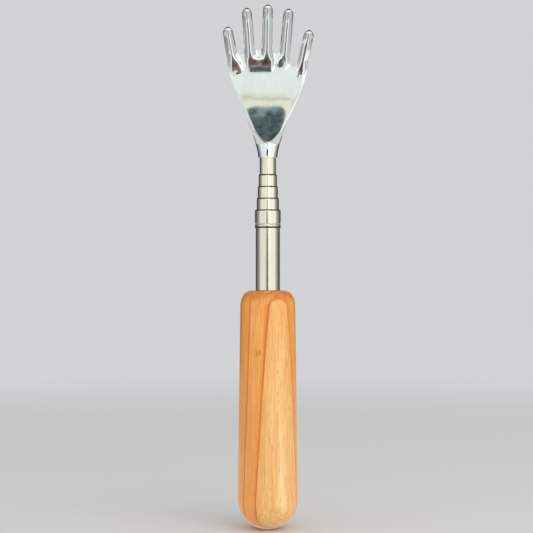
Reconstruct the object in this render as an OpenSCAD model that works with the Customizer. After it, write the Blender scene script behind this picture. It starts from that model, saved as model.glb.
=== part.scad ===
// Telescopic back scratcher: a stamped steel hand on four sliding tubes, in a turned wooden handle.
// The origin is on the axis at the middle of the handle, where it is held. +Z runs to the fingertips,
// and the scratching side of the hand faces -Y.

/* [Handle] */
// Length of the wooden handle
handle_length = 100; // [80:1:130]
// Largest diameter, just above the rounded butt
handle_butt_d = 25.4; // [22:0.1:32]
// Diameter just under the shoulder
handle_neck_d = 23.1; // [20:0.1:30]
// Diameter of the flat face round the tube
handle_face_d = 14; // [12.5:0.1:18]
// Height of the rounded shoulder
shoulder_h = 6.7; // [3:0.1:12]
// Height of the rounded butt
butt_h = 11.9; // [6:0.1:14]
// Wood left under the hole for the outer tube
butt_wood = 12; // [8:0.5:25]
// Glue gap between the outer tube and the wood
glue_gap = 0.05; // [0.02:0.01:0.2]

/* [Telescopic tubes] */
// Outer diameter of the fixed outer tube
outer_tube_d = 10.2; // [9.4:0.1:12]
// Wall of every tube
tube_wall = 0.25; // [0.2:0.01:0.35]
// Room between one tube and the next for the friction spring
spring_room = 0.16; // [0.12:0.01:0.25]
// Running clearance on each side of a spring, a stop or a tube mouth
running_gap = 0.04; // [0.02:0.005:0.05]
// Outer tube that shows between the handle and the collar
shank_length = 26.05; // [15:0.1:40]
// How far each closed section stands out of the one before it
section_step = 4.95; // [4:0.05:8]
// Tip section that shows below the hand when closed
tip_shown = 6.95; // [4:0.05:15]
// Length of tip section inside the neck of the hand
neck_insert = 5; // [3:0.1:5.5]
// Height of the drawn-in mouth of a sliding section
mouth_h = 1.6; // [1:0.1:3]
// Rounding of the mouth's outer edge
mouth_round = 0.3; // [0.1:0.05:0.35]

/* [Collar] */
// Height of the collar on the outer tube
collar_h = 7.8; // [5:0.1:12]
// Wall of the collar
collar_wall = 0.33; // [0.2:0.01:0.6]
// Thickness of the collar's turned-in top
collar_cap = 0.4; // [0.3:0.05:0.8]
// Height of the rolled bead at the collar's lower end
bead_h = 1.7; // [1:0.1:3]
// Depth of the groove above and the step below the bead
bead_groove = 0.16; // [0.05:0.01:0.18]

/* [Springs and stops] */
// Length of a friction spring
spring_length = 14; // [8:0.5:25]
// Width of the split in a friction spring
spring_split = 2.2; // [1:0.1:4]
// Height of the ridge that keeps a spring on its tube
ridge_h = 0.8; // [0.5:0.1:1.5]
// Thickness of a stop plug's flange
stop_flange = 0.8; // [0.5:0.1:1.2]
// Gap under a closed section, and past each end of a spring
seat_gap = 0.2; // [0.1:0.05:0.4]
// Clearance of a plug pressed into a tube
press_gap = 0.02; // [0.01:0.005:0.03]
// Length of the plug in the top of the tip section
tip_plug_length = 6; // [4:0.5:12]

/* [Hand] */
// Thickness of the steel sheet
sheet_t = 0.5; // [0.4:0.05:0.7]
// Clearance of the neck round the tip section
neck_gap = 0.06; // [0.05:0.01:0.15]
// Palm width at the finger roots
palm_w = 33.7; // [30:0.1:40]
// Height of the palm's outer edges above the end of the neck
palm_h = 40.3; // [38.5:0.1:42]
// Height up to which the rolled neck is closed
neck_closed_h = 4.5; // [3:0.1:6]
// Height at which the rolled neck has opened out flat
neck_open_h = 30; // [20:0.5:34]
// Width of the rolled rim beside the flat of the palm
rim_w = 2.2; // [1.6:0.1:3.5]
// Height at which the flat of the palm begins
flat_foot = 6; // [5.5:0.1:8]
// Height over which the flat of the palm widens to its rims
flat_run = 7; // [4:0.1:10]
// Height from which the palm leans forward
palm_bend_z = 4.2; // [3:0.1:6]
// Lean of the palm out of the neck, in degrees
palm_lean_deg = 4.7; // [0:0.1:8]

/* [Fingers] */
// Width of a finger
finger_w = 3.8; // [3:0.1:4.4]
// Depth of the rounded front of a finger
finger_deep = 1.5; // [0.8:0.1:1.8]
// Fingertip distances from the axis, left to right
tip_x = [-16.5, -8.6, 0, 8.5, 16.9]; // [-25:0.1:25]
// Fingertip heights above the end of the neck
tip_z = [53.2, 60.8, 62.4, 60.5, 51.9]; // [48:0.1:75]
// Distances of the four gaps from the axis
gap_x = [-11.3, -4, 3.4, 10.7]; // [-20:0.1:20]
// Heights of the bottoms of the gaps above the end of the neck
gap_z = [42.5, 44, 42.9, 37.3]; // [36:0.1:46]
// Half width of a gap at its bottom
gap_r = 1.75; // [1.2:0.05:2.2]
// Heights of the creases where the fingers rise out of the palm
crease_z = [34.6, 34.5, 34.5, 36.3, 32.8]; // [30:0.1:38]
// Width of each finger's flat root to the left of its ridge
root_left_w = [0.3, 0.7, 1.4, 1.6, 0.7]; // [0:0.05:3]
// Width of each finger's flat root to the right of its ridge
root_right_w = [1.7, 1.4, 1.4, 0.4, 0.7]; // [0:0.05:3]
// Heights at which the flat roots have narrowed to the ridges
root_top_z = [43, 44.5, 44.5, 43.5, 44.5]; // [41:0.1:48]
// Lean of the fingers out of the palm, in degrees
finger_lean_deg = 4.8; // [0:0.1:12]
// Length of the hooked fingertip
hook_length = 4.4; // [3:0.1:5]
// Radius of the hook
hook_r = 8; // [5.1:0.1:12]

/* [Hidden] */
$fn = 96;

steel = "silver";
bronze = "peru";
section_count = 4;
arc_steps = 8;
butt_arc_deg = 80;
sliver = 0.01;

// Heights along the axis
handle_top = handle_length / 2;
handle_butt = -handle_length / 2;
socket_floor = handle_butt + butt_wood;
collar_foot = handle_top + shank_length;
outer_mouth = collar_foot + collar_h;
neck_end = section_mouth(section_count - 1) + tip_shown;
plug_length = section_step - stop_flange - seat_gap;

function section_foot(n) = socket_floor + n * section_step;
function section_mouth(n) = outer_mouth + n * section_step;
function section_r(n) = outer_tube_d / 2 - n * (tube_wall + spring_room);
function section_bore(n) = section_r(n) - tube_wall;
function spring_foot(n) = section_foot(n) + seat_gap;
function spring_head(n) = spring_foot(n) + spring_length;
// Radius that runs free in the bore round section n
function running_r(n) = section_r(n) + spring_room - running_gap;
// Radius of the mouth that section n slides through
function mouth_r(n) = section_r(n) + running_gap;

slide_travel = section_mouth(1) - mouth_h - spring_head(2) - seat_gap - ridge_h - seat_gap;
echo(slide_travel = slide_travel, closed_length = neck_end + max(tip_z) - handle_butt);

function lerp(a, b, t) = a + (b - a) * t;
function limit01(t) = min(1, max(0, t));
function ease(t) = let (c = limit01(t)) c * c * (3 - 2 * c);

// Quarter of an ellipse from its side, at angle 0, to its end, at angle 90
function quarter(centre_r, centre_z, half_w, half_h, from, to) = [
    for (k = [0 : arc_steps])
        let (a = lerp(from, to, k / arc_steps))
            [centre_r + half_w * cos(a), centre_z + half_h * sin(a)]
];

// Turned wooden handle with a blind hole for the outer tube
module handle() {
    shoulder_w = (handle_neck_d - handle_face_d) / 2;
    profile = concat(
        [[0, handle_butt]],
        [for (p = quarter(0, handle_butt + butt_h, handle_butt_d / 2, -butt_h, butt_arc_deg, 0)) p],
        [for (p = quarter(handle_face_d / 2, handle_top - shoulder_h, shoulder_w, shoulder_h, 0, 90)) p],
        [[0, handle_top]]
    );
    color("sandybrown")
        difference() {
            rotate_extrude() polygon(profile);
            translate([0, 0, socket_floor])
                cylinder(r = outer_tube_d / 2 + glue_gap, h = handle_length);
        }
}

// Fixed outer tube, glued in the handle
module outer_tube() {
    color(steel)
        translate([0, 0, socket_floor])
            difference() {
                cylinder(r = section_r(0), h = outer_mouth - collar_cap - socket_floor);
                translate([0, 0, -handle_length])
                    cylinder(r = section_bore(0), h = 4 * handle_length);
            }
}

// Disc pressed into the foot of the outer tube, on which the first section lands
module base_plug() {
    color("dimgray")
        translate([0, 0, socket_floor])
            cylinder(r = section_bore(0) - press_gap, h = plug_length);
}

// Collar over the outer tube's mouth, with a rolled bead below and a turned-in top that holds section 1
module mouth_collar() {
    inner_r = section_r(0) + press_gap;
    outer_r = inner_r + collar_wall;
    bead_top = collar_foot + bead_h;
    profile = concat(
        [
            [inner_r, collar_foot],
            [outer_r - bead_groove, collar_foot],
            [outer_r, collar_foot + bead_groove],
            [outer_r, bead_top - bead_groove],
            [outer_r - bead_groove, bead_top],
            [outer_r, bead_top + bead_groove]
        ],
        quarter(outer_r - mouth_round, outer_mouth - mouth_round, mouth_round, mouth_round, 0, 90),
        [
            [mouth_r(1), outer_mouth],
            [mouth_r(1), outer_mouth - collar_cap],
            [inner_r, outer_mouth - collar_cap]
        ]
    );
    color(steel) rotate_extrude() polygon(profile);
}

// Ridge on the outside of section n, just above its spring
function ridge_points(n) = let (z = spring_head(n) + seat_gap, slope = running_r(n) - section_r(n)) [
    [section_r(n), z],
    [running_r(n), z + slope],
    [running_r(n), z + ridge_h - slope],
    [section_r(n), z + ridge_h]
];

// Sliding section with its mouth drawn in round the next one
module section_tube(n) {
    foot = section_foot(n);
    mouth = section_mouth(n);
    profile = concat(
        [[section_bore(n), foot], [section_r(n), foot]],
        ridge_points(n),
        quarter(section_r(n) - mouth_round, mouth - mouth_round, mouth_round, mouth_round, 0, 90),
        [
            [mouth_r(n + 1), mouth],
            [mouth_r(n + 1), mouth - mouth_h / 2],
            [section_bore(n), mouth - mouth_h]
        ]
    );
    color(steel) rotate_extrude() polygon(profile);
}

// Tip section: a plain end goes into the neck of the hand
module tip_tube() {
    foot = section_foot(section_count);
    head = neck_end + neck_insert;
    profile = concat(
        [[section_bore(section_count), foot], [section_r(section_count), foot]],
        ridge_points(section_count),
        [[section_r(section_count), head], [section_bore(section_count), head]]
    );
    color(steel) rotate_extrude() polygon(profile);
}

// Split bronze sleeve that rides on section n and rubs in the bore round it
module section_spring(n) {
    color(bronze)
        translate([0, 0, spring_foot(n)])
            difference() {
                cylinder(r = running_r(n), h = spring_length);
                translate([0, 0, -spring_length])
                    cylinder(r = section_r(n) + running_gap, h = 3 * spring_length);
                translate([-spring_split / 2, 0, -spring_length])
                    cube([spring_split, outer_tube_d, 3 * spring_length]);
            }
}

// Stop pressed into the foot of section n: its flange keeps the spring on, and the next section lands on it
module section_stop(n) {
    color(bronze)
        union() {
            translate([0, 0, section_foot(n) - stop_flange])
                cylinder(r = running_r(n), h = stop_flange);
            translate([0, 0, section_foot(n) - sliver])
                cylinder(r = section_bore(n) - press_gap, h = plug_length + sliver);
        }
}

// Plug that stiffens the top of the tip section, where the neck is staked to it
module tip_plug() {
    color("dimgray")
        translate([0, 0, neck_end + neck_insert - tip_plug_length])
            cylinder(r = section_bore(section_count) - press_gap, h = tip_plug_length);
}

// The hand is one sheet, laid out as a comb of cells: rows run up the neck and the palm, and on up
// each finger, and columns run across five fingers and the four gaps between them.
fingers = len(tip_x);
finger_cells = 5;
gap_cells = 4;
comb = finger_cells + gap_cells;
columns = fingers * finger_cells + (fingers - 1) * gap_cells;
palm_rows = 32;
shaft_rows = 9;
tip_rows = 5;
rows = palm_rows + shaft_rows + tip_rows;
palm_row_exponent = 1.25;
tip_sweep_deg = 80;
stake_finger = 2;
stake_rows = [1, 3];

neck_r = section_r(section_count) + neck_gap + sheet_t / 2;
neck_wrap_deg = 177;
rim_wrap_deg = 3;
half_palm = palm_w / 2;
straight_flare_ratio = 0.2;
flare_exponent = 0.92;
wrap_exponent = 3;
fall_exponent = 2.3;
valley_ratio = 0.6;
palm_bend_run = 3;
crease_run = 2.4;
rim_run = 7;
rim_fade_h = 5;
rim_fade_run = 8;

function finger_of(i) = min(fingers - 1, floor(i / comb));
function place_in(i) = i - comb * finger_of(i);
function on_finger(i) = place_in(i) <= finger_cells;
// Place across a finger, from -1 at its left edge to 1 at its right edge
function across(i) = 2 * place_in(i) / finger_cells - 1;

// Roots of finger k, at the upper ends of the gaps beside it
function left_root(k) = k == 0 ? [-half_palm, palm_h] : [gap_x[k - 1] + gap_r, gap_z[k - 1] + gap_r];
function right_root(k) = k == fingers - 1 ? [half_palm, palm_h] : [gap_x[k] - gap_r, gap_z[k] + gap_r];

// Where column i reaches the top of the palm
function root_point(i) =
    let (k = finger_of(i), a = 180 * (place_in(i) - finger_cells) / gap_cells)
    on_finger(i)
        ? lerp(left_root(k), right_root(k), place_in(i) / finger_cells)
        : [gap_x[k] - gap_r * cos(a), gap_z[k] + gap_r * (1 - sin(a))];

// Half width of the neck and palm at height z
function palm_flare(z) =
    let (t = limit01(z / palm_h), swell = pow(sin(90 * pow(t, flare_exponent)), 2))
    lerp(neck_r, half_palm, lerp(swell, t, straight_flare_ratio));

// Half width of the flat of the palm at height z, which runs out in the round neck
function flat_half(z) = (palm_flare(z) - rim_w) * sqrt(limit01((z - flat_foot) / flat_run));

// How far each rim is rolled back at height z, in degrees: nearly closed at the neck
function wrap(z) =
    let (t = limit01((z - neck_closed_h) / (neck_open_h - neck_closed_h)))
    lerp(rim_wrap_deg, neck_wrap_deg, pow(1 - t, wrap_exponent));

// Gentle bend from a height up, by an angle
function bend(z, from, run, angle) =
    let (d = max(0, z - from))
    tan(angle) * (d < run ? d * d / (2 * run) : d - run / 2);

// Distance of the palm in front of the axis, as if it ran on up without a crease
function palm_front(z) = neck_r + bend(z, palm_bend_z, palm_bend_run, palm_lean_deg);

// Ridge of finger k: its foot between the two roots, its end at the centre of the round tip, its direction
function ridge_foot(k) = lerp(left_root(k), right_root(k), 0.5);
function ridge_end(k) = [tip_x[k], tip_z[k] - finger_w / 2];
function ridge_along(k) = let (d = ridge_end(k) - ridge_foot(k)) d / norm(d);
// How far right of that ridge a point lies, and how far past its end
function right_of_ridge(k, p) = let (a = ridge_along(k), d = p - ridge_foot(k)) d.x * a.y - d.y * a.x;
function past_ridge(k, p) = (p - ridge_end(k)) * ridge_along(k);
function nearest_finger(p) =
    let (d = [for (k = [0 : fingers - 1]) abs(right_of_ridge(k, p))])
    [for (k = [0 : fingers - 1]) if (d[k] == min(d)) k][0];

// Half width of finger k's flat root at height z, on the left or the right of its ridge
function root_flat(k, right, z) =
    (right > 0 ? root_right_w[k] : root_left_w[k])
    * limit01((root_top_z[k] - z) / (root_top_z[k] - crease_z[k] - crease_run));

// How far the nearest finger, and the sheet that falls back beside it, stands out of the palm at a point
function finger_rise(p) =
    let (
        k = nearest_finger(p),
        right = right_of_ridge(k, p),
        rise = bend(p.y, crease_z[k], crease_run, finger_lean_deg),
        valley = valley_ratio * bend(p.y, crease_z[stake_finger], crease_run, finger_lean_deg),
        away = norm([right, max(0, past_ridge(k, p))]),
        beside = limit01((away - root_flat(k, right, p.y)) / (finger_w / 2))
    )
    rise - min(finger_deep, rise + valley) * pow(beside, fall_exponent);

// Point of the neck and palm in column i at a share t of the way to its root
function palm_point(i, t) =
    let (
        root = root_point(i),
        z = t * palm_h + pow(t, 3) * (root.y - palm_h),
        level = t * palm_h,
        turn = wrap(level),
        flat = flat_half(level),
        rim_r = (palm_flare(level) - flat) / sin(min(90, turn)),
        rim_deep = lerp(neck_r, rim_r, ease((level - flat_foot) / rim_run)),
        reach = abs(root.x) / half_palm * (flat + rim_r * turn * PI / 180),
        angle = max(0, reach - flat) / rim_r * 180 / PI,
        x = t == 1 ? root.x : sign(root.x) * (min(reach, flat) + rim_r * sin(angle)),
        rolled = 1 - ease((z - palm_h + rim_fade_h) / rim_fade_run),
        front = palm_front(z) + finger_rise([x, z]) - rolled * rim_deep * (1 - cos(angle))
    )
    [x, -front, neck_end + z];

// Point of a finger in column i: row 1 to shaft_rows up to its tip's centre, then round the tip
function finger_point(i, row) =
    let (
        k = finger_of(i),
        tip = ridge_end(k),
        along = ridge_along(k),
        sideways = [along.y, -along.x],
        t = min(1, row / shaft_rows),
        a = tip_sweep_deg * max(0, row - shaft_rows) / tip_rows,
        d = across(i) * finger_w / 2 * cos(a),
        p = row <= shaft_rows
            ? lerp(root_point(i), tip + d * sideways, t)
            : tip + d * sideways + finger_w / 2 * sin(a) * along,
        hooked = max(0, past_ridge(k, p) + hook_length - finger_w / 2),
        front = palm_front(p.y) + finger_rise(p) + hook_r - sqrt(hook_r * hook_r - hooked * hooked)
    )
    [p.x, -front, neck_end + p.y];

function cell_there(i, j) =
    i >= 0 && i < columns && j >= 0 && j < rows
    && (j < palm_rows || place_in(i) < finger_cells)
    && !(i == comb * stake_finger + floor(finger_cells / 2) && j >= stake_rows[0] && j <= stake_rows[1]);
function point_there(i, j) =
    i >= 0 && i <= columns && j >= 0 && j <= rows && (j <= palm_rows || on_finger(i));
// Number of point i, j in the list, which leaves out the gaps
function point_no(i, j) =
    j <= palm_rows
        ? j * (columns + 1) + i
        : (palm_rows + 1) * (columns + 1) + (j - palm_rows - 1) * fingers * (finger_cells + 1)
            + finger_of(i) * (finger_cells + 1) + place_in(i);

// One sheet of steel: neck, palm and fingers, with the stake slot left out of the neck
module hand() {
    middle = [
        for (j = [0 : rows]) [
            for (i = [0 : columns])
                j <= palm_rows ? palm_point(i, pow(j / palm_rows, palm_row_exponent))
                : on_finger(i) ? finger_point(i, j - palm_rows)
                : undef
        ]
    ];
    function beside(i, j, di, dj) = point_there(i + di, j + dj) ? middle[j + dj][i + di] : middle[j][i];
    function facing(i, j) =
        let (n = cross(beside(i, j, 1, 0) - beside(i, j, -1, 0), beside(i, j, 0, 1) - beside(i, j, 0, -1)))
        n / norm(n);
    normals = [for (j = [0 : rows]) [for (i = [0 : columns]) point_there(i, j) ? facing(i, j) : undef]];
    places = [for (j = [0 : rows]) for (i = [0 : columns]) if (point_there(i, j)) [i, j]];
    points = [
        for (side = [1, -1]) for (p = places)
            middle[p.y][p.x] + side * sheet_t / 2 * normals[p.y][p.x]
    ];
    back = len(places);
    // Cells are cut along the rims in the lower palm, and above it where the sheet is straighter
    function straighter(c) =
        normals[c.y + 1][c.x] * normals[c.y][c.x + 1] > normals[c.y][c.x] * normals[c.y + 1][c.x + 1];
    function cut_shift(c) = (c.y < palm_rows / 2 ? c.x < columns / 2 : straighter(c)) ? 1 : 0;
    cells = [for (j = [0 : rows - 1]) for (i = [0 : columns - 1]) if (cell_there(i, j)) [i, j]];
    faces = [
        for (c = cells)
            let (
                corner = [
                    point_no(c.x, c.y), point_no(c.x, c.y + 1),
                    point_no(c.x + 1, c.y + 1), point_no(c.x + 1, c.y)
                ],
                beyond = [[-1, 0], [0, 1], [1, 0], [0, -1]],
                turned = [for (e = [0 : 3]) corner[(e + cut_shift(c)) % 4]],
                behind = [for (n = turned) back + n]
            )
            each concat(
                [[turned[0], turned[1], turned[2]], [turned[0], turned[2], turned[3]]],
                [[behind[0], behind[2], behind[1]], [behind[0], behind[3], behind[2]]],
                [
                    for (e = [0 : 3])
                        let (p = corner[e], q = corner[(e + 1) % 4])
                        if (!cell_there(c.x + beyond[e].x, c.y + beyond[e].y))
                            each [[q, p, back + p], [q, back + p, back + q]]
                ]
            )
    ];
    color(steel) polyhedron(points, faces);
}

handle();
outer_tube();
base_plug();
mouth_collar();
section_tube(1);  // section_1_tube
section_spring(1);  // section_1_spring
section_stop(1);  // section_1_stop
section_tube(2);  // section_2_tube
section_spring(2);  // section_2_spring
section_stop(2);  // section_2_stop
section_tube(3);  // section_3_tube
section_spring(3);  // section_3_spring
section_stop(3);  // section_3_stop
tip_tube();  // section_4_tube
section_spring(4);  // section_4_spring
section_stop(4);  // section_4_stop
tip_plug();
hand();
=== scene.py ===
# Telescopic back scratcher: a stamped steel hand on four sliding tubes, in a turned wooden handle.
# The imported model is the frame: metres, the tubes' axis along Z, the scratching side facing -Y.
import math

import bpy
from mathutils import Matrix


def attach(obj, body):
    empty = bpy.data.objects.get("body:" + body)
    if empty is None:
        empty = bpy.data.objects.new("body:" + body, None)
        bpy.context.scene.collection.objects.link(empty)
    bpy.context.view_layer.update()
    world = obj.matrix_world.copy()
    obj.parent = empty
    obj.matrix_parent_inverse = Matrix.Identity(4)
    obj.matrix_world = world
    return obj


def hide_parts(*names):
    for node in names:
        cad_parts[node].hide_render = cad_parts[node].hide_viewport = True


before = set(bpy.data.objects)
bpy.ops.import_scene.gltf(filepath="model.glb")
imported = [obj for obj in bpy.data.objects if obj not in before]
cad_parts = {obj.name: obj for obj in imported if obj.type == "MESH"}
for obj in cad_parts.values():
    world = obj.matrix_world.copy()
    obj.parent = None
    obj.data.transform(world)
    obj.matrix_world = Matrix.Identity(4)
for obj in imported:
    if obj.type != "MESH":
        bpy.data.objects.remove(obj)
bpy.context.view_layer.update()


# Wooden handle: a pale straight-grained hardwood blank, turned on a lathe to a slow taper with a
# round butt and shoulder, bored from the top for the outer tube, sanded and dipped in clear lacquer.
mm = 0.001
handle_top, handle_butt = 50, -50
butt_r, butt_h = 12.69, 11.9
neck_under_shoulder_r, shoulder_h, face_r = 11.55, 6.7, 7.0
socket_r, socket_floor, socket_chamfer = 5.15, -38, 0.25


def quarter_round(centre_r, centre_z, half_w, half_h, start, end, steps):
    """Points of an elliptical arc in the outline of a turned piece, angles in degrees from its side."""
    angles = [math.radians(start + (end - start) * k / steps) for k in range(steps + 1)]
    return [(centre_r + half_w * math.cos(a), centre_z + half_h * math.sin(a)) for a in angles]


def turn_on_lathe(name, outline, steps=128):
    """Draws half an outline of (radius, height) in millimetres, one vertex at a time, and spins it."""
    bpy.ops.object.select_all(action="DESELECT")
    start_r, start_z = outline[0]
    bpy.ops.mesh.primitive_plane_add(size=mm, location=(0, 0, 0))
    piece = bpy.context.object
    piece.name = piece.data.name = name
    bpy.ops.object.mode_set(mode="EDIT")
    bpy.ops.mesh.select_all(action="SELECT")
    bpy.ops.mesh.merge(type="CENTER")
    bpy.ops.transform.translate(value=(start_r * mm, 0, start_z * mm))
    for (r0, z0), (r1, z1) in zip(outline, outline[1:]):
        step = ((r1 - r0) * mm, 0, (z1 - z0) * mm)
        bpy.ops.mesh.extrude_vertices_move(TRANSFORM_OT_translate={"value": step})
    bpy.ops.mesh.select_all(action="SELECT")
    bpy.ops.mesh.spin(steps=steps, angle=2 * math.pi, center=(0, 0, 0), axis=(0, 0, 1))
    bpy.ops.mesh.select_all(action="SELECT")
    bpy.ops.mesh.remove_doubles(threshold=0.002 * mm)
    bpy.ops.mesh.normals_make_consistent(inside=False)
    bpy.ops.object.mode_set(mode="OBJECT")
    bpy.ops.object.shade_smooth_by_angle(angle=math.radians(32))
    return piece


def wire(tree, kind, inputs, out=0, **settings):
    """Adds a shader node, sets or links its inputs, and hands back one of its outputs."""
    made = tree.nodes.new("ShaderNode" + kind)
    for setting, value in settings.items():
        setattr(made, setting, value)
    for socket, value in inputs.items():
        if isinstance(value, bpy.types.NodeSocket):
            tree.links.new(value, made.inputs[socket])
        else:
            made.inputs[socket].default_value = value
    return made.outputs[out]


def ramp(tree, factor, stops):
    """Adds a colour ramp with (position, colour) stops."""
    made = tree.nodes.new("ShaderNodeValToRGB")
    band = made.color_ramp
    band.elements[0].position, band.elements[0].color = stops[0]
    band.elements[1].position, band.elements[1].color = stops[-1]
    for position, shade in stops[1:-1]:
        band.elements.new(position).color = shade
    tree.links.new(factor, made.inputs[0])
    return made.outputs[0]


def mix(tree, factor, under, over):
    """Lays one colour over another."""
    return wire(tree, "Mix", {0: factor, 6: under, 7: over}, out=2, data_type="RGBA")


def colour(red, green, blue):
    """A screen colour, 0 to 255, as the linear colour a shader takes."""
    return tuple(((c / 255 + 0.055) / 1.055) ** 2.4 for c in (red, green, blue)) + (1,)


def grey(level):
    """A linear grey."""
    return (level, level, level, 1)


def veil(tree, noise, low, high, most, under, over):
    """Lays one colour over another where a noise is high, from a low level to a high one."""
    return mix(tree, ramp(tree, noise, [(low, grey(0.0)), (high, grey(most))]), under, over)


def part_of(tree, vector, axis):
    """One of the three parts of a vector."""
    return wire(tree, "SeparateXYZ", {0: vector}, out=axis)


def streaks(tree, place, across, along, detail=3.0, seed=0.0, wander=0.0):
    """Noise drawn out along Z: its waves a metre across and along the piece, and how it wanders."""
    stretched = wire(tree, "Mapping", {0: place, 1: (seed, seed, seed), 3: (across, across, along)})
    return wire(tree, "TexNoise", {
        "Vector": stretched, "Scale": 1.0, "Detail": detail, "Roughness": 0.55, "Distortion": wander,
    })


def new_finish(name):
    """A new material, with its node tree and the object coordinates that its patterns follow."""
    finish = bpy.data.materials.new(name)
    finish.use_nodes = True
    return finish, finish.node_tree, wire(finish.node_tree, "TexCoord", {}, out="Object")


def lay_finish(tree, tint, rough, bump, plain):
    """Links a colour, a roughness and a bump to the surface, and sets its plain values."""
    skin = tree.nodes["Principled BSDF"]
    for socket, source in (("Base Color", tint), ("Roughness", rough), ("Normal", bump)):
        if source is not None:
            tree.links.new(source, skin.inputs[socket])
    for socket, value in plain.items():
        skin.inputs[socket].default_value = value


handle_outline = (
    [(0, handle_butt)]
    + quarter_round(0, handle_butt + butt_h, butt_r, -butt_h, 84, 0, 28)
    + quarter_round(
        face_r, handle_top - shoulder_h, neck_under_shoulder_r - face_r, shoulder_h, 0, 90, 24)
    + [(socket_r + socket_chamfer, handle_top), (socket_r, handle_top - socket_chamfer)]
    + [(socket_r, socket_floor), (0, socket_floor)]
)
wood_handle = turn_on_lathe("wood_handle", handle_outline)

# The growth rings are flat layers that lean a little out of the axis, so they show as long loops.
# They bow out near the butt, and their lines are faint on the right of the front.
ring_turn, ring_lean, ring_span = math.radians(23), -0.0262, 28.0
ring_lines = [-10.6, -6.2, -1.5, 4.4, 9.72]
bow_start, bow_end, bow_out = -40, -47.5, 2.1
faint_x, faint_y, faint_share = (4, 9), (-2, -5), 0.75
pale_after = 2.0
early_wood = [colour(*shade) for shade in (
    (248, 169, 66), (250, 171, 68), (254, 173, 68), (255, 181, 86), (253, 188, 102),
)]
mid_wood = [colour(*shade) for shade in (
    (240, 157, 54), (244, 159, 56), (250, 165, 58), (254, 171, 72), (252, 173, 78),
)]
late_wood, ring_wood, faint_ring = colour(238, 147, 52), colour(206, 104, 26), colour(244, 160, 66)
pale_and_lit_wood, fibre_wood, hair_wood = colour(255, 207, 132), colour(224, 138, 54), colour(214, 126, 50)
pore_wood, knot_wood = colour(192, 106, 42), colour(172, 82, 8)
end_light, end_dark = colour(236, 142, 62), colour(200, 108, 38)
knots = ((-4.5, 24.1), (-3.3, 24.5))
knot_w, knot_h, knot_scale_in, knot_face = 0.5, 1.8, 120, -1.4

lacquered_wood, tree, place = new_finish("lacquered_wood")
sway = streaks(tree, place, 70, 14, detail=2.0, seed=3.0)
layer = wire(tree, "VectorMath", {
    0: place, 1: (math.sin(ring_turn) / mm, -math.cos(ring_turn) / mm, ring_lean / mm),
}, out="Value", operation="DOT_PRODUCT")
layer = wire(tree, "Math", {0: sway, 1: layer}, operation="ADD")
bowed = wire(tree, "MapRange", {
    0: part_of(tree, place, "Z"), 1: bow_start * mm, 2: bow_end * mm, 4: bow_out,
}, interpolation_type="SMOOTHSTEP")
layer = wire(tree, "Math", {0: layer, 1: bowed}, operation="ADD")
layer = wire(tree, "MapRange", {0: layer, 1: 0.5 - ring_span / 2, 2: 0.5 + ring_span / 2})
stops = []
for line, early, mid in zip(ring_lines, early_wood, mid_wood):
    for offset, shade in (
        (-1.0, mid), (-0.3, late_wood), (-0.1, ring_wood), (0.1, ring_wood), (0.24, early),
    ):
        stops.append(((line + offset + ring_span / 2) / ring_span, shade))
# Past the last ring line the wood is paler, on the front's right: partly its own tone, partly painted
# light from the right.
stops.append(((ring_lines[-1] + pale_after + ring_span / 2) / ring_span, pale_and_lit_wood))
faint_stops = [(line, faint_ring if shade == ring_wood else shade) for line, shade in stops]
right_side = wire(tree, "MapRange", {
    0: part_of(tree, place, "X"), 1: faint_x[0] * mm, 2: faint_x[1] * mm,
})
front_side = wire(tree, "MapRange", {
    0: part_of(tree, place, "Y"), 1: faint_y[0] * mm, 2: faint_y[1] * mm, 4: faint_share,
})
front_right = wire(tree, "Math", {0: right_side, 1: front_side}, operation="MULTIPLY")
timber = mix(tree, front_right, ramp(tree, layer, stops), ramp(tree, layer, faint_stops))
fibre = streaks(tree, place, 700, 26, wander=1.2)
timber = veil(tree, fibre, 0.35, 0.7, 0.42, timber, fibre_wood)
hair = streaks(tree, place, 2400, 80, detail=2.0, seed=11.0, wander=0.8)
timber = veil(tree, hair, 0.42, 0.66, 0.4, timber, hair_wood)
pores = streaks(tree, place, 3000, 300, detail=1.0, seed=7.0)
face_z = part_of(tree, wire(tree, "TexCoord", {}, out="Normal"), "Z")
turned_up_or_down = wire(tree, "Math", {0: face_z}, operation="ABSOLUTE")
side_grain = wire(tree, "MapRange", {0: turned_up_or_down, 1: 0.15, 2: 0.6, 3: 1.0, 4: 0.25})
pore_mask = ramp(tree, pores, [(0.62, grey(0.0)), (0.74, grey(0.55))])
pore_mask = wire(tree, "Math", {0: pore_mask, 1: side_grain}, operation="MULTIPLY")
timber = mix(tree, pore_mask, timber, pore_wood)
for knot_x, knot_z in knots:
    knot = wire(tree, "Mapping", {
        0: place, 1: (-knot_x / knot_w, 0, -knot_z / knot_h),
        3: (1 / mm / knot_w, knot_scale_in, 1 / mm / knot_h),
    })
    knot = wire(tree, "VectorMath", {0: knot, 1: (0, knot_face, 0)}, out="Value", operation="DISTANCE")
    timber = mix(tree, ramp(tree, knot, [(0.2, grey(0.75)), (0.99, grey(0.0))]), timber, knot_wood)
# Upward faces take the end-grain colour: partly lacquer soaking into the end grain, partly painted shade
# for a top that takes less light.
end_grain_and_shade = ramp(tree, face_z, [(0.2, grey(0.0)), (0.46, grey(0.75))])
timber = mix(tree, end_grain_and_shade, timber, ramp(tree, fibre, [(0.4, end_light), (0.62, end_dark)]))
rough = wire(tree, "MapRange", {0: fibre, 3: 0.34, 4: 0.5})
grain_bump = wire(tree, "Bump", {
    "Height": pore_mask, "Strength": 0.04, "Distance": 0.05 * mm,
}, invert=True)
lay_finish(tree, timber, rough, grain_bump, {
    "Specular IOR Level": 0.25, "Coat Weight": 0.5, "Coat Roughness": 0.2, "Coat IOR": 1.7,
})

wood_handle.data.materials.append(lacquered_wood)
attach(wood_handle, "handle")
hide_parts("handle")
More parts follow.
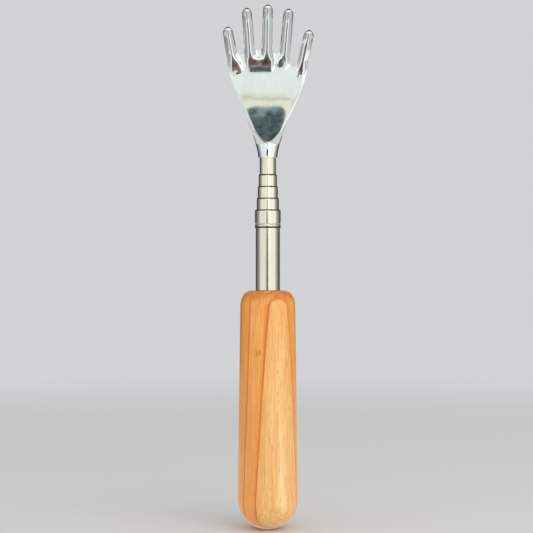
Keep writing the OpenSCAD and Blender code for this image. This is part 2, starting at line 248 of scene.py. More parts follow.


# Outer tube: thin drawn steel tube, chrome plated and polished along its length, glued in the handle.
# Its drawing lines run lengthwise, the plating is a little warm, and painted shade darkens it where it
# meets the wood.
outer_r, tube_wall = 5.1, 0.25
outer_head = 83.45
edge_round = 0.06
foot_shade_starts, foot_shade_full, any_r = 50.4, 49.8, 6
outer_outline = [
    (outer_r - tube_wall, socket_floor), (outer_r, socket_floor),
    (outer_r, handle_top), (outer_r, foot_shade_starts),
    (outer_r, outer_head - edge_round), (outer_r - edge_round, outer_head),
    (outer_r - tube_wall, outer_head), (outer_r - tube_wall, socket_floor),
]
outer_shank = turn_on_lathe("outer_shank", outer_outline)


def paint_crevice_shade(piece, bands):
    """Marks where shade is painted on a turned piece: bands of (height where it starts, height where it
    is full, largest radius).
    """
    band_end = 4
    crevice_shade = piece.data.attributes.new("crevice_shade", "FLOAT", "POINT")
    for vertex, mark in zip(piece.data.vertices, crevice_shade.data):
        r, z = math.hypot(vertex.co.x, vertex.co.y) / mm, vertex.co.z / mm
        for shade_starts, shade_full, largest in bands:
            share = (z - shade_starts) / (shade_full - shade_starts)
            if 0 < share < band_end and r <= largest:
                mark.value = max(mark.value, min(1.0, share))


# Painted shade: a dark ring on the tube just above the wood's edge.
paint_crevice_shade(outer_shank, [(foot_shade_starts, foot_shade_full, any_r)])

plate_dull, plate_bright = colour(222, 221, 200), colour(234, 233, 213)
# The second tone here is the dark colour of the painted shade in the crevices.
plate_cloud, crevice_shade_tone = colour(220, 216, 196), colour(58, 55, 50)
tube_chrome, tree, place = new_finish("tube_chrome")
drawn = streaks(tree, place, 1500, 7)
cloud = streaks(tree, place, 130, 60, detail=2.0, seed=5.0)
plating = ramp(tree, drawn, [(0.3, plate_dull), (0.7, plate_bright)])
plating = veil(tree, cloud, 0.45, 0.75, 0.5, plating, plate_cloud)
# Painted shade: the marked crevices are darkened in the plating's colour.
crevice_shade = wire(tree, "Attribute", {}, out="Fac", attribute_name="crevice_shade")
crevice_shade = wire(tree, "MapRange", {0: crevice_shade, 1: 0.1, 2: 0.75, 4: 0.93}, interpolation_type="SMOOTHSTEP")
plating = mix(tree, crevice_shade, plating, crevice_shade_tone)
rough = wire(tree, "MapRange", {0: drawn, 1: 0.3, 2: 0.7, 3: 0.17, 4: 0.11})
line_bump = wire(tree, "Bump", {"Height": drawn, "Strength": 0.05, "Distance": 0.01 * mm})
lay_finish(tree, plating, rough, line_bump, {"Metallic": 1.0})

outer_shank.data.materials.append(tube_chrome)
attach(outer_shank, "handle")
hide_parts("outer_tube")


# Mouth collar: a spun cap of the same plated steel, pressed over the outer tube's mouth. Its foot is
# rolled into a bead with a groove above it, and its top is turned in to hold the first section.
collar_foot, collar_head = 76.05, 83.85
collar_in_r, collar_out_r, collar_lip_r, collar_edge = 5.12, 5.45, 4.73, 0.05
bead_h, bead_deep = 1.7, 0.2
groove_h, groove_deep = 0.36, bead_deep * 0.8
lip_w, lip_h = 0.35, 0.8
mouth_shade_starts, mouth_shade_full = 0.66, 0.34
bead_shade_starts, bead_shade_full = 0.95, 0.5
groove_middle = collar_foot + bead_h + groove_h / 2
collar_outline = (
    [(collar_in_r, collar_foot)]
    + quarter_round(
        collar_out_r - bead_deep, collar_foot + bead_h / 2, bead_deep, bead_h / 2, -80, 80, 16)
    + quarter_round(collar_out_r, groove_middle, -groove_deep, groove_h / 2, -75, 85, 10)
    + quarter_round(collar_out_r - lip_w, collar_head - lip_h, lip_w, lip_h, 0, 90, 14)
    + [(collar_lip_r + collar_edge, collar_head), (collar_lip_r, collar_head - collar_edge)]
    + [(collar_lip_r, outer_head), (collar_in_r, outer_head), (collar_in_r, collar_foot)]
)
rolled_collar = turn_on_lathe("rolled_collar", collar_outline)
# Painted shade: the top of the mouth's lip and the lower half of the bead, where the collar meets the
# tube.
paint_crevice_shade(rolled_collar, [
    (collar_head - mouth_shade_starts, collar_head - mouth_shade_full, any_r),
    (collar_foot + bead_shade_starts, collar_foot + bead_shade_full, any_r),
])
rolled_collar.data.materials.append(tube_chrome)
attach(rolled_collar, "handle")
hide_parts("mouth_collar")


# Sliding sections: four plated steel tubes, each a little thinner than the one it slides in. Three have
# mouths drawn in round the next tube, and the last ends plain inside the hand. A rolled ridge near
# each foot keeps the friction spring in its place.
section_step, spring_room, running_gap = 4.95, 0.16, 0.04
spring_length, seat_gap, ridge_h = 14, 0.2, 0.8
mouth_h = 1.6
neck_end, neck_insert = 105.65, 5
sections = 4


def section_r(n):
    """Outside radius of section n."""
    return outer_r - n * (tube_wall + spring_room)


for n in range(1, sections + 1):
    tube_r, bore_r = section_r(n), section_r(n) - tube_wall
    foot, mouth = socket_floor + n * section_step, collar_head + n * section_step
    ridge_z = foot + seat_gap + spring_length + seat_gap
    ridge_r = spring_room - running_gap
    outline = [(bore_r, foot), (tube_r - edge_round, foot), (tube_r, foot + edge_round)]
    outline += quarter_round(tube_r, ridge_z + ridge_h / 2, ridge_r, ridge_h / 2, -90, 90, 12)
    if n < sections:
        lip_r = section_r(n + 1) + running_gap
        outline += quarter_round(tube_r - lip_w, mouth - lip_h, lip_w, lip_h, 0, 90, 14)
        outline += [(lip_r, mouth), (lip_r, mouth - mouth_h / 2), (bore_r, mouth - mouth_h)]
    else:
        head = neck_end + neck_insert
        outline += [(tube_r, head - edge_round), (tube_r - edge_round, head), (bore_r, head)]
    outline += [(bore_r, foot)]
    slide_tube = turn_on_lathe(f"slide_tube_{n}", outline)
    # Painted shade on the top of each drawn-in mouth, round the next tube.
    if n < sections:
        paint_crevice_shade(slide_tube, [(mouth - mouth_shade_starts, mouth - mouth_shade_full, tube_r)])
    slide_tube.data.materials.append(tube_chrome)
    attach(slide_tube, f"section_{n}")
    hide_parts(f"section_{n}_tube")


# Hand: one blank of thin steel sheet, pressed in a die. The neck is rolled round the tip tube, the palm
# opens out of it with rolled rims, and five round fingers end in hooks. It is polished to a mirror.
sheet_t, neck_gap, rim_round = 0.5, 0.06, 0.09
neck_r = section_r(sections) + neck_gap + sheet_t / 2
half_palm, palm_h = 16.85, 40.3
neck_closed_h, neck_open_h = 4.5, 30
neck_wrap, rim_wrap, wrap_power = math.radians(177), math.radians(3), 4
rim_w, flat_foot, flat_run, rim_run = 1.3, 6.0, 5.0, 6.0
rim_ends_below, rim_fade = 5, 8
palm_lean, finger_lean = math.radians(4.7), math.radians(4.8)
palm_bend, crease_z, crease_run = (4.2, 3.0), (32.5, 33.5, 33.5, 35.8, 31.0), 5.2
valley_z, valley_drop, valley_w = 33.5, 0.6, 1.3
fingers, finger_w, finger_deep = 5, 3.8, 1.5
root_top, root_foot = (43, 44.5, 44.5, 43.5, 44.5), (34.6, 36.2, 36.4, 37.0, 33.0)
root_left, root_right = (1.0, 0.9, 1.85, 2.8, 0.9), (2.8, 1.9, 1.85, 0.8, 0.9)
root_widest, root_spread = 0.72, 1.1
web_left, web_right, web_top = (0, 0.9, 3.9, 0, 0), (0, 3.9, 1.8, 0, 0), (40.0, 42.0)
line_half, line_ends_below, line_fade = (0.18, 0.24, 0.26, 0.24, 0.5), 4, 3
root_side_w, side_widens_z, side_widens_run = 0.9, 36, 8
shaft_z, shaft_run, side_power, edge_power, edge_share = 42, 4, 2.3, 8, 0.06
tip_x, tip_z = (-16.5, -8.6, 0, 8.5, 16.9), (53.15, 60.75, 62.1, 60.45, 51.85)
gap_x, gap_z, gap_r = (-11.3, -4, 3.4, 10.7), (42.5, 44, 42.9, 37.3), 1.75
hook_length, hook_r = 4.4, 8.0
tip_sweep = math.radians(84)
straight_flare, flare_power = 0.2, 0.92
finger_cells, gap_cells = 15, 10
palm_rows, shaft_rows, tip_rows = 128, 54, 22
slot_cells, slot_rows = (6, 8), (2, 9)

comb = finger_cells + gap_cells
columns = fingers * comb - gap_cells
rows = palm_rows + shaft_rows + tip_rows
slot_columns = [fingers // 2 * comb + cell for cell in slot_cells]


def lerp(a, b, t):
    """The value a share t of the way from a to b."""
    return a + (b - a) * t


def limit01(t):
    """A share kept between nothing and all."""
    return min(1.0, max(0.0, t))


def ease(t):
    """A share that starts and ends gently."""
    t = limit01(t)
    return t * t * (3 - 2 * t)


def finger_of(column):
    """The finger that a column of the blank belongs to, and its place in that finger's cells."""
    finger = min(fingers - 1, column // comb)
    return finger, column - comb * finger


def root_ends(finger):
    """The left and right root of a finger, at the upper ends of the gaps beside it."""
    left, right = (-half_palm, palm_h), (half_palm, palm_h)
    if finger > 0:
        left = (gap_x[finger - 1] + gap_r, gap_z[finger - 1] + gap_r)
    if finger < fingers - 1:
        right = (gap_x[finger] - gap_r, gap_z[finger] + gap_r)
    return left, right


def root_point(column):
    """Where a column of the blank reaches the top of the palm."""
    finger, cell = finger_of(column)
    if cell <= finger_cells:
        left, right = root_ends(finger)
        return lerp(left[0], right[0], cell / finger_cells), lerp(left[1], right[1], cell / finger_cells)
    turn = math.pi * (cell - finger_cells) / gap_cells
    return gap_x[finger] - gap_r * math.cos(turn), gap_z[finger] + gap_r * (1 - math.sin(turn))


def palm_flare(z):
    """Half width of the neck and palm at a height."""
    t = limit01(z / palm_h)
    swell = math.sin(math.pi / 2 * t ** flare_power) ** 2
    return lerp(neck_r, half_palm, straight_flare * t + (1 - straight_flare) * swell)


def bend(z, start, run, angle):
    """How far a gentle bend from a height up has brought the sheet forward."""
    d = max(0.0, z - start)
    return math.tan(angle) * (d * d / (2 * run) if d < run else d - run / 2)


def palm_front(z):
    """How far in front of the axis the sheet lies, as if the palm ran on up without a crease."""
    return neck_r + bend(z, *palm_bend, palm_lean)


def finger_axis(finger):
    """The foot of a finger's ridge, its direction, and its length up to the centre of the round tip."""
    left, right = root_ends(finger)
    foot_x, foot_z = (left[0] + right[0]) / 2, (left[1] + right[1]) / 2
    end_x, end_z = tip_x[finger], tip_z[finger] - finger_w / 2
    length = math.hypot(end_x - foot_x, end_z - foot_z)
    return foot_x, foot_z, (end_x - foot_x) / length, (end_z - foot_z) / length, length


def ridge_distance(finger, x, z):
    """How far right of a finger's ridge a point lies, and how far past the centre of its tip."""
    foot_x, foot_z, along_x, along_z, length = finger_axis(finger)
    right = (x - foot_x) * along_z - (z - foot_z) * along_x
    return right, (x - foot_x) * along_x + (z - foot_z) * along_z - length


def root_flat(finger, right, past, z):
    """Half width of the flat that a finger's ridge widens to where it runs out in the palm."""
    down = (root_top[finger] - z) / (root_top[finger] - root_foot[finger])
    if down < root_widest:
        spread = (limit01(down) / root_widest) ** root_spread
    else:
        spread = math.sqrt(1 - min(1.0, (down - root_widest) / (1 - root_widest)) ** 2)
    flat = spread * (root_right if right > 0 else root_left)[finger]
    line = line_half[finger] * (1 - ease((past + line_ends_below) / line_fade))
    web_share = 1 - ease((z - web_top[0]) / (web_top[1] - web_top[0]))
    web = (web_right if right > 0 else web_left)[finger] * web_share
    return max(flat, line, web)


def finger_rise(x, z):
    """How far the nearest finger's ridge, and the sheet beside it, stand out of the palm."""
    finger = min(range(fingers), key=lambda k: abs(ridge_distance(k, x, z)[0]))
    right, past = ridge_distance(finger, x, z)
    rise = bend(z, crease_z[finger], crease_run, finger_lean)
    run = lerp(root_side_w, finger_w / 2, limit01((z - side_widens_z) / side_widens_run))
    beside = (math.hypot(right, max(0.0, past)) - root_flat(finger, right, past, z)) / run
    round_side, valley_side = limit01(beside), limit01(beside / valley_w)
    shaft_fall = (1 - edge_share) * round_side ** side_power + edge_share * round_side ** edge_power
    valley_fall = valley_side ** side_power * (side_power + 1 - side_power * valley_side)
    deep = min(finger_deep, rise + valley_drop * bend(z, valley_z, crease_run, finger_lean))
    return rise - deep * lerp(valley_fall, shaft_fall, limit01((z - shaft_z) / shaft_run))


def palm_place(column, t):
    """Place of a column of the blank in the pressed neck and palm."""
    root_x, root_z = root_point(column)
    level = t * palm_h
    z = level + t ** 3 * (root_z - palm_h)
    opening = limit01((level - neck_closed_h) / (neck_open_h - neck_closed_h))
    turn = lerp(rim_wrap, neck_wrap, (1 - opening) ** wrap_power)
    short = 1 - limit01((level - flat_foot) / flat_run)
    flat = (palm_flare(level) - rim_w) * math.sqrt(1 - short ** 2)
    rim_r = (palm_flare(level) - flat) / math.sin(min(math.pi / 2, turn))
    rim_deep = lerp(neck_r, rim_r, ease((level - flat_foot) / rim_run))
    reach = abs(root_x) / half_palm * (flat + rim_r * turn)
    angle = max(0.0, reach - flat) / rim_r
    x = math.copysign(min(reach, flat) + rim_r * math.sin(angle), root_x)
    rolled = 1 - ease((z - palm_h + rim_ends_below) / rim_fade)
    front = palm_front(z) + finger_rise(x, z) - rolled * rim_deep * (1 - math.cos(angle))
    return x, -front, neck_end + z


def finger_place(column, row):
    """Place of a column of the blank on a pressed finger: up its shaft, then round its hooked tip."""
    finger, cell = finger_of(column)
    across = 2 * cell / finger_cells - 1
    foot_x, foot_z, along_x, along_z, length = finger_axis(finger)
    end_x, end_z = foot_x + length * along_x, foot_z + length * along_z
    sweep = tip_sweep * max(0, row - shaft_rows) / tip_rows
    d = across * finger_w / 2 * math.cos(sweep)
    rise = finger_w / 2 * math.sin(sweep)
    x, z = end_x + d * along_z + rise * along_x, end_z - d * along_x + rise * along_z
    root_x, root_z = root_point(column)
    if row <= shaft_rows:
        x, z = lerp(root_x, x, row / shaft_rows), lerp(root_z, z, row / shaft_rows)
    hooked = max(0.0, ridge_distance(finger, x, z)[1] + hook_length - finger_w / 2)
    front = palm_front(z) + finger_rise(x, z) + hook_r - math.sqrt(hook_r ** 2 - hooked ** 2)
    return x, -front, neck_end + z


bpy.ops.object.select_all(action="DESELECT")
bpy.ops.mesh.primitive_grid_add(x_subdivisions=columns, y_subdivisions=rows, size=2)
steel_hand = bpy.context.object
steel_hand.name = steel_hand.data.name = "steel_hand"
blank = steel_hand.data
bpy.ops.object.mode_set(mode="EDIT")
bpy.ops.mesh.select_mode(type="FACE")
bpy.ops.mesh.select_all(action="DESELECT")
bpy.ops.object.mode_set(mode="OBJECT")
blank_place = [
    (round((v.co.x + 1) / 2 * columns), round((v.co.y + 1) / 2 * rows)) for v in blank.vertices
]
for face in blank.polygons:
    column = min(blank_place[v][0] for v in face.vertices)
    row = min(blank_place[v][1] for v in face.vertices)
    in_gap = row >= palm_rows and finger_of(column)[1] >= finger_cells
    in_slot = slot_columns[0] <= column <= slot_columns[1] and slot_rows[0] <= row <= slot_rows[1]
    face.select = in_gap or in_slot
for vertex, (column, row) in zip(blank.vertices, blank_place):
    if row <= palm_rows:
        x, y, z = palm_place(column, row / palm_rows)
    elif finger_of(column)[1] <= finger_cells:
        x, y, z = finger_place(column, row - palm_rows)
    else:
        continue
    vertex.co = (x * mm, y * mm, z * mm)
bpy.ops.object.mode_set(mode="EDIT")
bpy.ops.mesh.delete(type="FACE")
bpy.ops.mesh.select_mode(type="VERT")
bpy.ops.mesh.select_all(action="SELECT")
bpy.ops.mesh.normals_make_consistent(inside=False)
bpy.ops.mesh.select_all(action="DESELECT")
bpy.ops.mesh.select_non_manifold()
bpy.ops.mesh.select_all(action="INVERT")
bpy.ops.mesh.vertices_smooth(factor=0.5, repeat=3)
bpy.ops.object.mode_set(mode="OBJECT")
bpy.ops.object.shade_smooth()
thicken = steel_hand.modifiers.new("sheet thickness", "SOLIDIFY")
thicken.thickness, thicken.offset, thicken.use_even_offset = sheet_t * mm, 0, True
bpy.ops.object.modifier_apply(modifier=thicken.name)
round_rims = steel_hand.modifiers.new("rounded rims", "BEVEL")
round_rims.width, round_rims.segments = rim_round * mm, 2
round_rims.limit_method, round_rims.angle_limit = "ANGLE", math.radians(50)
round_rims.use_clamp_overlap = False
round_rims.harden_normals = True
bpy.ops.object.modifier_apply(modifier=round_rims.name)

steel_dull, steel_bright = colour(225, 232, 227), colour(231, 237, 233)
steel_cloud = colour(216, 222, 214)
hand_steel, tree, place = new_finish("hand_steel")
polish = streaks(tree, place, 1900, 16)
cloud = streaks(tree, place, 160, 90, detail=2.0, seed=2.0)
steel = ramp(tree, polish, [(0.3, steel_dull), (0.7, steel_bright)])
steel = veil(tree, cloud, 0.45, 0.75, 0.5, steel, steel_cloud)
rough = wire(tree, "MapRange", {0: polish, 1: 0.3, 2: 0.7, 3: 0.04, 4: 0.025})
ripple = wire(tree, "TexNoise", {"Vector": place, "Scale": 110.0, "Detail": 1.0})
press_bump = wire(tree, "Bump", {"Height": ripple, "Strength": 1.0, "Distance": 0.012 * mm})
lay_finish(tree, steel, rough, press_bump, {"Metallic": 1.0})

steel_hand.data.materials.append(hand_steel)
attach(steel_hand, "section_4")
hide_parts("hand")


# Stake: a narrow punch mark through the neck that locks the hand to the tip tube. Its walls are raw
# steel, painted dark for the shade inside the deep, narrow recess.
stake_w, stake_deep, stake_h = 0.66, 0.3, 2.64
stake_wall, stake_sunk, stake_round = 0.14, 0.18, 0.03
stake_middle = (-0.21, -3.66, neck_end + 1.89)
bpy.ops.object.select_all(action="DESELECT")
bpy.ops.mesh.primitive_cube_add(size=1)
neck_stake = bpy.context.object
neck_stake.name = neck_stake.data.name = "neck_stake"
bpy.ops.object.mode_set(mode="EDIT")
bpy.ops.transform.resize(value=(stake_w * mm, stake_deep * mm, stake_h * mm))
bpy.ops.transform.translate(value=[c * mm for c in stake_middle])
bpy.ops.mesh.select_mode(type="FACE")
bpy.ops.mesh.select_all(action="DESELECT")
bpy.ops.object.mode_set(mode="OBJECT")
for face in neck_stake.data.polygons:
    face.select = face.normal.y < -0.9
bpy.ops.object.mode_set(mode="EDIT")
bpy.ops.mesh.inset(thickness=stake_wall * mm)
bpy.ops.transform.translate(value=(0, stake_sunk * mm, 0))
bpy.ops.mesh.select_mode(type="VERT")
bpy.ops.mesh.select_all(action="SELECT")
bpy.ops.mesh.bevel(offset=stake_round * mm, segments=2, affect="EDGES")
bpy.ops.mesh.normals_make_consistent(inside=False)
bpy.ops.object.mode_set(mode="OBJECT")
bpy.ops.object.shade_smooth_by_angle(angle=math.radians(40))

stake_painted_shade, tree, place = new_finish("stake_painted_shade")
scratches = streaks(tree, place, 4000, 500)
# Painted shade: these dark colours stand in for the shade inside the punch mark.
stake_shade_tone = ramp(tree, scratches, [(0.3, colour(40, 39, 38)), (0.7, colour(84, 82, 80))])
rough = wire(tree, "MapRange", {0: scratches, 3: 0.4, 4: 0.7})
lay_finish(tree, stake_shade_tone, rough, None, {"Metallic": 1.0})

neck_stake.data.materials.append(stake_painted_shade)
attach(neck_stake, "section_4")


# Hidden fittings: split bronze friction springs, turned brass stops and plain steel plugs. They sit
# inside the tubes, pressed in or free to slide, and keep their solids with a finish of their own.
def fitting_metal(name, bright, dull, rough, lines):
    """A turned or rolled metal with fine rings round the axis and a dull bloom."""
    metal, tree, place = new_finish(name)
    rings = streaks(tree, place, 40, lines)
    bloom = streaks(tree, place, 300, 300, detail=2.0, seed=1.0)
    tint = veil(tree, bloom, 0.35, 0.75, 0.7, bright, dull)
    spread = wire(tree, "MapRange", {0: rings, 3: rough - 0.08, 4: rough + 0.08})
    bump = wire(tree, "Bump", {"Height": rings, "Strength": 0.1, "Distance": 0.01 * mm})
    lay_finish(tree, tint, spread, bump, {"Metallic": 1.0})
    return metal


spring_bronze = fitting_metal("spring_bronze", colour(205, 150, 98), colour(168, 112, 70), 0.34, 600)
turned_brass = fitting_metal("turned_brass", colour(222, 190, 112), colour(186, 150, 82), 0.28, 2600)
plug_steel = fitting_metal("plug_steel", colour(186, 188, 190), colour(140, 142, 146), 0.4, 2200)
fittings = {"base_plug": plug_steel, "tip_plug": plug_steel}
for n in range(1, sections + 1):
    fittings[f"section_{n}_spring"] = spring_bronze
    fittings[f"section_{n}_stop"] = turned_brass
for name, metal in fittings.items():
    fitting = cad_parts[name]
    if not fitting.material_slots:
        fitting.data.materials.append(metal)
    for slot in fitting.material_slots:
        slot.material = metal


# Floor: a plain pale sheet that the butt stands on. It thins out far from the object, so that it runs
# into the pale room without a line, and in polished metal it shows white, duller further off.
floor_fade, floor_dim = (0.3, 0.8), 0.6
bpy.ops.object.select_all(action="DESELECT")
bpy.ops.mesh.primitive_plane_add(size=8, location=(0, 0, 0))
floor = bpy.context.object
floor.name = floor.data.name = "floor"
bpy.ops.object.mode_set(mode="EDIT")
bpy.ops.mesh.subdivide(number_cuts=7)
bpy.ops.transform.translate(value=(0, 0, handle_butt * mm))
bpy.ops.object.mode_set(mode="OBJECT")
floor_paper, tree, place = new_finish("floor_paper")
skin = tree.nodes["Principled BSDF"]
skin.inputs["Base Color"].default_value = colour(222, 222, 220)
skin.inputs["Roughness"].default_value = 0.9
skin.inputs["Specular IOR Level"].default_value = 0.0
far = wire(tree, "VectorMath", {0: place}, out="Value", operation="LENGTH")
dimming = wire(tree, "MapRange", {0: far, 2: floor_dim})
white = wire(tree, "Emission", {0: ramp(tree, dimming, [(0.0, grey(0.95)), (1.0, grey(0.5))])})
seen = wire(tree, "LightPath", {}, out="Is Glossy Ray")
paper = wire(tree, "MixShader", {0: seen, 1: skin.outputs[0], 2: white})
thin = wire(tree, "MapRange", {
    0: far, 1: floor_fade[0], 2: floor_fade[1],
}, interpolation_type="SMOOTHSTEP")
thinned = wire(tree, "MixShader", {0: thin, 1: paper, 2: wire(tree, "BsdfTransparent", {})})
tree.links.new(thinned, tree.nodes["Material Output"].inputs["Surface"])
floor.data.materials.append(floor_paper)


# Studio: a pale room, three softboxes and a fill light in front, and cards that only reflections see,
# as a photographer sets them round polished metal: dark, cream and white ones in front, grey ones beside
# the fingers, wings, one overhead, and a bright reflector bent up off the floor for the wood's sheen.
room = bpy.data.worlds.new("pale_room")
room.use_nodes = True
room_light = room.node_tree.nodes["Background"]
room_light.inputs["Color"].default_value = (0.97, 0.98, 1.0, 1)
room_light.inputs["Strength"].default_value = 0.66
bpy.context.scene.world = room


def softbox(name, centre, aim, width, height, brightness, tint):
    """A flat soft light whose face shows a set brightness, 1 being white."""
    lamp = bpy.data.lights.new(name, "AREA")
    lamp.shape, lamp.size, lamp.size_y = "RECTANGLE", width, height
    lamp.energy = brightness * math.pi * width * height
    lamp.color = tint
    box = bpy.data.objects.new(name, lamp)
    bpy.context.scene.collection.objects.link(box)
    box.location = centre
    toward = [b - a for a, b in zip(centre, aim)]
    tilt = math.atan2(toward[2], math.hypot(toward[0], toward[1]))
    swing = math.atan2(toward[1], toward[0])
    box.rotation_euler = (math.pi / 2 + tilt, 0, swing - math.pi / 2)
    return box


softbox("right_softbox", (0.50, -0.60, 0.30), (0, 0, 0.12), 1.15, 1.2, 0.5, (1.0, 0.99, 0.97))
softbox("left_softbox", (-0.58, -0.56, 0.30), (0, 0, 0.12), 0.95, 1.2, 0.32, (1.0, 0.97, 0.90))
softbox("front_softbox", (0.0, -0.80, 0.50), (0, 0, 0.50), 0.7, 0.8, 0.34, (0.98, 1.0, 0.99))
fill = softbox("fill_light", (0.60, -0.75, 0.60), (0, 0, 0.05), 0.8, 0.8, 1.3, (1.0, 0.99, 0.97))
fill.visible_glossy = False


def reflection_card(name, corners, stops, mottle=0.0, blots_a_metre=(170, 170), ribs=None):
    """A card that only reflections see, shaded from its first side to the last, with blots or ribs."""
    bpy.ops.object.select_all(action="DESELECT")
    bpy.ops.mesh.primitive_plane_add(size=1)
    card = bpy.context.object
    card.name = card.data.name = name
    for vertex, corner in zip(card.data.vertices, corners):
        vertex.co = corner
    shade, tree, place = new_finish(name)
    tree.nodes.remove(tree.nodes["Principled BSDF"])
    side = part_of(tree, wire(tree, "TexCoord", {}, out="UV"), "X")
    if mottle:
        blots = streaks(tree, place, *blots_a_metre, detail=2.0)
        blots = wire(tree, "MapRange", {0: blots, 1: 0.3, 2: 0.7, 3: -mottle, 4: mottle})
        side = wire(tree, "Math", {0: side, 1: blots}, operation="ADD")
    if ribs:
        rib_start, rib_pitch, rib_shade = ribs
        waves_a_metre = math.pi / 10 / rib_pitch
        across = wire(tree, "Mapping", {0: place, 1: (-rib_start, 0, 0)})
        rib = wire(tree, "TexWave", {
            "Vector": across, "Scale": waves_a_metre,
        }, out="Fac", wave_profile="SAW")
        rib = wire(tree, "MapRange", {0: rib, 3: -rib_shade, 4: rib_shade})
        side = wire(tree, "Math", {0: side, 1: rib}, operation="ADD")
    glow = wire(tree, "Emission", {0: ramp(tree, side, stops)})
    tree.links.new(glow, tree.nodes["Material Output"].inputs["Surface"])
    card.data.materials.append(shade)
    card.visible_camera = card.visible_diffuse = card.visible_shadow = False
    return card


def upright_card(name, far_y, left, right, foot, head, stops, corner=0.0, **pattern):
    """A card that stands across the camera's place, shaded up from its foot, its top corners round."""
    corners = [(left, far_y, foot), (left, far_y, head), (right, far_y, foot), (right, far_y, head)]
    card = reflection_card(name, corners, stops, **pattern)
    if corner:
        bpy.ops.object.mode_set(mode="EDIT")
        bpy.ops.mesh.select_all(action="DESELECT")
        bpy.ops.object.mode_set(mode="OBJECT")
        for vertex in card.data.vertices:
            vertex.select = vertex.co.z > (foot + head) / 2
        bpy.ops.object.mode_set(mode="EDIT")
        bpy.ops.mesh.bevel(offset=corner, segments=6, affect="VERTICES")
        bpy.ops.object.mode_set(mode="OBJECT")


def round_the_object(azimuth, radius, z):
    """A point at an azimuth from the camera's side, turning towards the right."""
    return radius * math.sin(math.radians(azimuth)), -radius * math.cos(math.radians(azimuth)), z


def flanking_card(name, near, far_edge, fold, next_fold, stops):
    """A flat card from one azimuth to another, between folds at (radius, height), shaded sideways."""
    reflection_card(name, [
        round_the_object(azimuth, *edge) for edge in (fold, next_fold) for azimuth in (near, far_edge)
    ], stops)


palm_card_y, cream_card_y, shaft_card_y, white_card_y = -0.58, -0.60, -0.90, -0.95
upright_card("camera_card", palm_card_y, -0.018, 0.015, 0.07, 0.1016, [
    (0.0, (0.05, 0.065, 0.07, 1)), (0.35, (0.16, 0.2, 0.21, 1)),
    (0.65, (0.025, 0.04, 0.05, 1)), (0.95, (0.26, 0.33, 0.37, 1)),
], corner=0.005, mottle=0.5)
upright_card("stand_card", palm_card_y, -0.04, 0.036, 0.02, 0.07, [
    (0.0, (0.025, 0.02, 0.02, 1)), (0.26, (0.03, 0.022, 0.022, 1)), (0.42, (0.14, 0.085, 0.083, 1)),
    (0.56, (0.22, 0.14, 0.138, 1)), (0.72, (0.28, 0.2, 0.2, 1)), (0.82, (0.3, 0.22, 0.22, 1)),
    (0.9, (0.62, 0.54, 0.54, 1)), (1.0, (0.12, 0.11, 0.12, 1)),
], mottle=0.24, blots_a_metre=(320, 45), ribs=(-0.0305, 0.0134, 0.28))
upright_card("cream_card", cream_card_y, -0.0235, 0.0205, 0.06, 0.1125, [
    (0.0, (0.98, 0.97, 0.84, 1)), (0.875, (0.98, 0.97, 0.84, 1)), (0.905, (0.66, 0.64, 0.5, 1)),
    (0.93, (0.7, 0.68, 0.54, 1)), (0.955, (0.93, 0.93, 0.82, 1)), (1.0, (0.86, 0.89, 0.82, 1)),
], corner=0.008)
upright_card("white_card", white_card_y, -0.25, 0.075, -0.049, 0.094, [
    (0.0, grey(0.86)), (1.0, grey(0.86)),
])
upright_card("shaft_card", shaft_card_y, -0.09, 0.075, -0.02, 0.034, [
    (0.0, grey(0.05)), (1.0, grey(0.05)),
])

near_card_r, strip_foot, strip_head = 0.15, 0.04, 0.1
reflection_card("tube_strip", [
    round_the_object(azimuth, near_card_r, z) for azimuth in (-3, -12) for z in (strip_foot, strip_head)
], [(0.0, grey(0.03)), (0.6, grey(0.06)), (1.0, grey(0.5))])
finger_card_foot, finger_card_head = (near_card_r, 0.119), (near_card_r, 0.19)
flanking_card("left_finger_card", -24, -84, finger_card_foot, finger_card_head, [
    (0.0, (0.7, 0.7, 0.73, 1)), (0.45, (0.45, 0.45, 0.48, 1)), (1.0, (0.29, 0.29, 0.31, 1)),
])
flanking_card("right_finger_card", 17, 86, finger_card_foot, finger_card_head, [
    (0.0, (0.8, 0.82, 0.82, 1)), (0.33, (0.6, 0.6, 0.64, 1)), (0.66, (0.67, 0.67, 0.72, 1)),
    (1.0, (0.37, 0.37, 0.4, 1)),
])

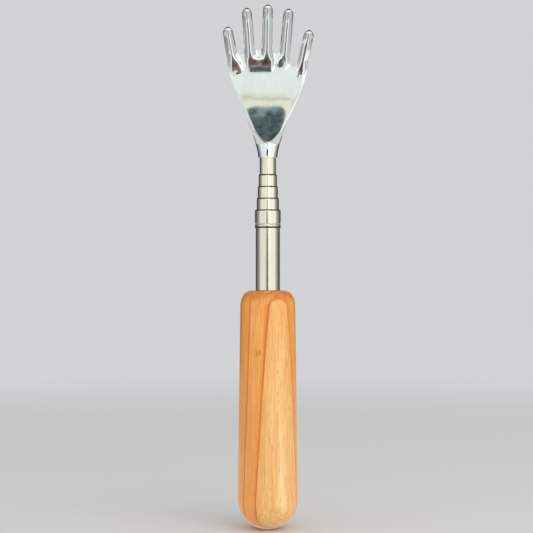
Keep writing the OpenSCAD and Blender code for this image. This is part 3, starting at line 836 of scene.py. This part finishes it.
floor_card_z, stand_foot_z, reflector_z = -0.0492, -0.049, -0.0485
reflection_card("stand_foot", [
    (-0.014, palm_card_y, stand_foot_z), (-0.012, -0.03, stand_foot_z),
    (0.012, palm_card_y, stand_foot_z), (0.010, -0.03, stand_foot_z),
], [(0.0, (0.20, 0.17, 0.15, 1)), (1.0, (0.10, 0.09, 0.08, 1))])
reflection_card("floor_card", [
    (-0.07, -1.1, floor_card_z), (-0.07, -0.4, floor_card_z),
    (0.07, -1.1, floor_card_z), (0.07, -0.4, floor_card_z),
], [(0.0, grey(0.3)), (1.0, grey(0.3))])
reflector_from, reflector_to, edge_dimming = 34, 68, 5
for name, fold, next_fold, shine in (
    ("butt_reflector", (0.02, reflector_z), (0.045, reflector_z), 2.4),
    ("near_reflector", (0.045, reflector_z), (0.1, reflector_z), 5.2),
    ("low_reflector", (0.1, reflector_z), (0.1, -0.035), 5.0),
    ("middle_reflector", (0.1, -0.035), (0.1, -0.019), 3.0),
    ("high_reflector", (0.1, -0.019), (0.1, 0.0126), 1.2),
):
    edge = grey(shine / edge_dimming)
    flanking_card(name, reflector_from, reflector_to, fold, next_fold, [
        (0.0, edge), (0.35, grey(shine)), (0.65, grey(shine)), (1.0, edge),
    ])
wing_foot, wing_head = (0.9, -0.04), (0.9, 1.0)
for name, near, far_edge in (("left_wing", -84, -165), ("right_wing", 88, 165)):
    flanking_card(name, near, far_edge, wing_foot, wing_head, [
        (0.0, grey(0.5)), (0.18, grey(0.34)), (0.45, grey(0.15)), (0.8, grey(0.05)),
    ])
overhead_z = 0.95
reflection_card("overhead_card", [
    (-0.8, -0.35, overhead_z), (-0.8, 0.9, overhead_z), (0.8, -0.35, overhead_z), (0.8, 0.9, overhead_z),
], [(0.0, grey(0.06)), (1.0, grey(0.03))])


# Camera: level, in front of the scratching side, at the height that the photograph was taken from.
half_view, view_distance = 111.93, 552
view = bpy.data.cameras.new("front_camera")
view.angle = 2 * math.atan(half_view / view_distance)
front_camera = bpy.data.objects.new("front_camera", view)
bpy.context.scene.collection.objects.link(front_camera)
front_camera.location = (-0.000546, -view_distance * mm, 0.06004)
front_camera.rotation_euler = (math.pi / 2, 0, 0)
bpy.context.scene.camera = front_camera
bpy.context.scene.view_settings.view_transform = "Standard"
